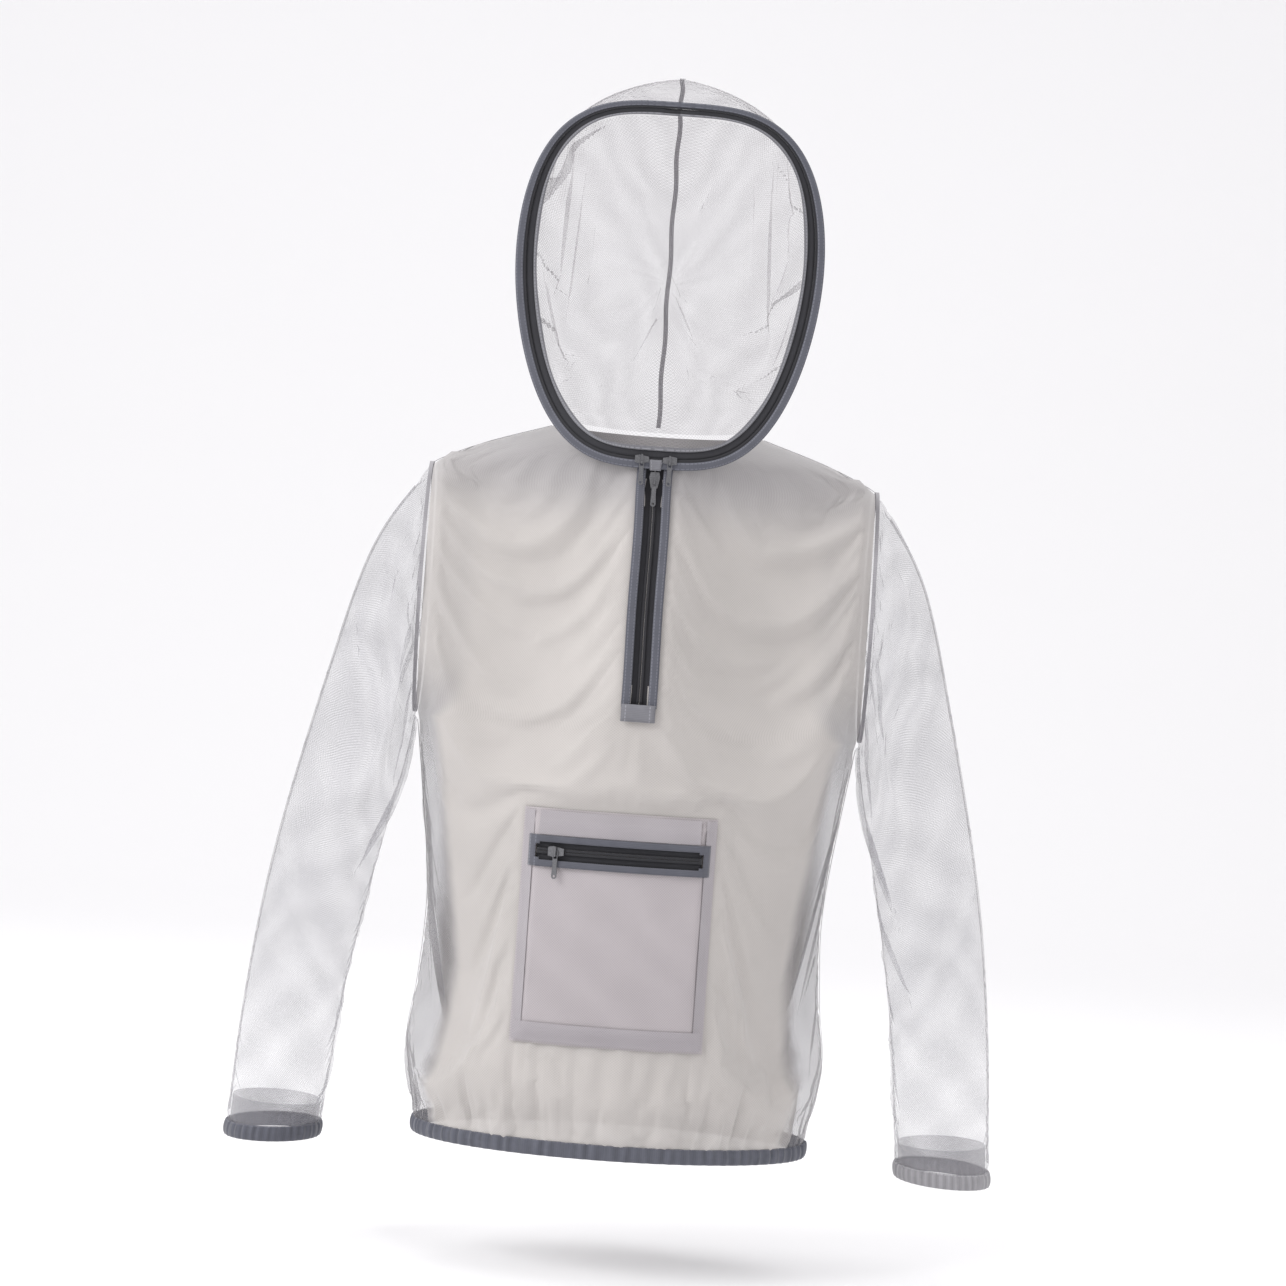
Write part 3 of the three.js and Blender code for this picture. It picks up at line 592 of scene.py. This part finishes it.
def up_front(name, x0, x1, z0, z1, off, across=3, along=90):
    def place(u, v):
        z = z0 + (z1 - z0) * v
        wave = 0.0003 * math.sin(z * 45)
        return front_at(x0 + (x1 - x0) * u + wave, z, off)
    return strap(name, place, abs(x1 - x0), z1 - z0, across, along)


for name, side in (("left", 1), ("right", -1)):
    finished(up_front("front_zip_tape_" + name, side * 0.0002, side * 0.0125, -0.266, -0.004, -0.0012),
             zip_tape, "zip_black", f"front_zip_{name}_tape")
    finished(up_front("front_zip_coil_" + name, side * 0.0002, side * 0.0026, -0.260, -0.011, 0.0005),
             zip_coil, "zip_black", f"front_zip_{name}_coil")
    finished(up_front("front_binding_" + name, side * 0.0080, side * 0.0162, -0.264, -0.013, 0.0034),
             slate_band, "slate_binding", f"front_{name}_binding")

# ---------------------------------------------------------------- pocket
# A patch pocket of doubled mesh, turned in at its sides and hemmed at top and bottom. Its zip
# runs across in a window that is bound in slate and stitched all round.

POCKET = (-0.098, 0.081, -0.579, -0.362)


def pocket_at(x, z, off):
    inset = min(x - POCKET[0], POCKET[1] - x, z - POCKET[2], POCKET[3] - z)
    share = min(max(inset / 0.015, 0), 1)
    share = share * share * (3 - 2 * share)
    flat = front_at(x, z, 0.0022).y
    arc = -0.126 + 0.300 - math.sqrt(0.300**2 - x * x)
    return Vector((x, flat + (arc - flat) * share - off, z))


def patch(name, x0, x1, z0, z1, off, across, along, wrinkle=0.0):
    def place(u, v):
        x, z = x0 + (x1 - x0) * u, z0 + (z1 - z0) * v
        return pocket_at(x, z, off + wrinkle * noise.noise(Vector((x * 26, z * 17, 4))))
    return bent_sheet(name, place, across, along, x1 - x0, z1 - z0)


ZIP_Z, WINDOW_HALF, MOUTH_HALF = -0.401, 0.0095, 0.0088
pocket_mesh = mesh_cloth("pocket mesh", (0.44, 0.405, 0.42), 0.93, grain=0.05)
hem_mesh = mesh_cloth("pocket hem mesh", (0.37, 0.345, 0.365), 0.95, grain=0.04)
pouch = patch("pocket_patch", *POCKET, 0.0006, 84, 102, wrinkle=0.0012)
bm = bmesh.new()
bm.from_mesh(pouch.data)
window = [f for f in bm.faces if abs(f.calc_center_median().z - ZIP_Z) < WINDOW_HALF
          and -0.086 < f.calc_center_median().x < 0.070]
bmesh.ops.delete(bm, geom=window, context="FACES")
bm.to_mesh(pouch.data)
bm.free()
finished(pouch, pocket_mesh, "pocket_mesh", "pocket_panel")
finished(patch("pocket_top_turning", -0.083, 0.066, -0.386, -0.364, 0.0024, 40, 6),
         hem_mesh, "pocket_mesh", "pocket_top_hem")
finished(patch("pocket_bottom_turning", -0.095, 0.078, -0.577, -0.559, 0.0024, 40, 6),
         hem_mesh, "pocket_mesh", "pocket_bottom_hem")
for name, x0, x1 in (("left", 0.071, 0.080), ("right", -0.097, -0.088)):
    finished(patch(f"pocket_{name}_turning", x0, x1, -0.576, -0.364, 0.0021, 4, 40), hem_mesh, "pocket_mesh")

frame_tape = patch("pocket_zip_surround", -0.092, 0.076, ZIP_Z - 0.0145, ZIP_Z + 0.0145, 0.0036, 84, 14)
bm = bmesh.new()
bm.from_mesh(frame_tape.data)


def in_mouth(c):
    """The zip shows through a mouth with rounded ends."""
    dx = max(0, -0.078 - c.x, c.x - 0.062)
    return math.hypot(dx, abs(c.z - ZIP_Z)) < MOUTH_HALF


bmesh.ops.delete(bm, geom=[f for f in bm.faces if in_mouth(f.calc_center_median())], context="FACES")
bmesh.ops.solidify(bm, geom=bm.faces[:], thickness=-0.0008)
bmesh.ops.recalc_face_normals(bm, faces=bm.faces)
bm.to_mesh(frame_tape.data)
bm.free()
finished(frame_tape, slate_band, "slate_binding", "pocket_zip_binding")
for name, side in (("upper", 1), ("lower", -1)):
    def across_pocket(piece, near, far, off):
        z0, z1 = sorted((ZIP_Z + side * near, ZIP_Z + side * far))
        def place(u, v):
            x = -0.084 + 0.152 * v
            return pocket_at(x, z0 + (z1 - z0) * u, off)
        return strap(piece, place, z1 - z0, 0.152, 2, 90)
    finished(across_pocket(f"pocket_zip_tape_{name}", 0.0002, 0.0115, -0.0014),
             zip_tape, "zip_black", f"pocket_zip_{name}_tape")
    finished(across_pocket(f"pocket_zip_coil_{name}", 0.0002, 0.0026, 0.0010),
             zip_coil, "zip_black", f"pocket_zip_{name}_coil")

# ---------------------------------------------------------------- sliders and pulls
# Four die-cast sliders in dark pewter, each with a stamped pull on its bridge. Two run on the
# veil's zip and meet at the chin, one on the front zip and one on the pocket.

pewter, tree, p, node = shader("pewter")
rub = node("TexNoise", Scale=900.0, Detail=4.0)
tree.links.new(node("TexCoord").outputs["Object"], rub.inputs["Vector"])
tone = node("Mix", data_type="RGBA")
tone.inputs[6].default_value = (0.075, 0.078, 0.088, 1)
tone.inputs[7].default_value = (0.27, 0.27, 0.28, 1)
tree.links.new(rub.outputs["Fac"], tone.inputs[0])
tree.links.new(tone.outputs[2], p.inputs["Base Color"])
p.inputs["Metallic"].default_value = 0.9
p.inputs["Roughness"].default_value = 0.34
for name in ("front_zip", "pocket_zip", "veil_left", "veil_right"):
    for part in ("_slider", "_pull"):
        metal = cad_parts[name + part]
        metal.data.materials.clear()
        metal.data.materials.append(pewter)

# ---------------------------------------------------------------- studio
# A pale floor that curves up behind the jacket, soft light from above and both sides,
# and a camera level with the chest.

bpy.ops.mesh.primitive_plane_add(size=1, location=(0, 0, 0))
floor = bpy.context.object
floor.name = "studio_floor"
bm = bmesh.new()
bmesh.ops.create_grid(bm, x_segments=1, y_segments=40, size=0.5)
for v in bm.verts:
    run = (v.co.y + 0.5) * 12
    bend = min(max((run - 6.0) / 3.0, 0), 1)
    angle = bend * math.pi / 2
    v.co = Vector((v.co.x * 16, -3 + min(run, 6.0) + 1.9 * math.sin(angle),
                   -0.80 + 1.9 * (1 - math.cos(angle)) + max(0, run - 9.0)))
bm.to_mesh(floor.data)
bm.free()
for f in floor.data.polygons:
    f.use_smooth = True
pale, tree, p, node = shader("studio floor")
p.inputs["Base Color"].default_value = (0.93, 0.93, 0.94, 1)
p.inputs["Roughness"].default_value = 0.9
floor.data.materials.append(pale)

world = bpy.data.worlds.new("studio")
world.use_nodes = True
world.node_tree.nodes["Background"].inputs[0].default_value = (1.0, 0.985, 0.995, 1)
world.node_tree.nodes["Background"].inputs[1].default_value = 0.84
bpy.context.scene.world = world
for name, place, size, power in (("key", (-2.3, -1.5, 1.5), 1.6, 62), ("side", (2.6, -1.2, 0.6), 2.0, 12),
                                 ("top", (0, 0.4, 2.4), 2.4, 30)):
    lamp = bpy.data.lights.new(name, "AREA")
    lamp.size, lamp.energy = size, power
    o = bpy.data.objects.new(name, lamp)
    bpy.context.scene.collection.objects.link(o)
    o.location = place
    o.rotation_euler = (Vector((0, 0, -0.2)) - Vector(place)).to_track_quat("-Z", "Y").to_euler()

bpy.context.scene.view_settings.view_transform = "Standard"
bpy.context.scene.cycles.transparent_max_bounces = 32
eye = bpy.data.cameras.new("camera")
eye.lens, eye.sensor_width = 84.6, 36
camera = bpy.data.objects.new("camera", eye)
camera.location = (0, -2.9, -0.204)
camera.rotation_euler = (math.radians(90), math.radians(-4.05), 0)
bpy.context.scene.collection.objects.link(camera)
bpy.context.scene.camera = camera
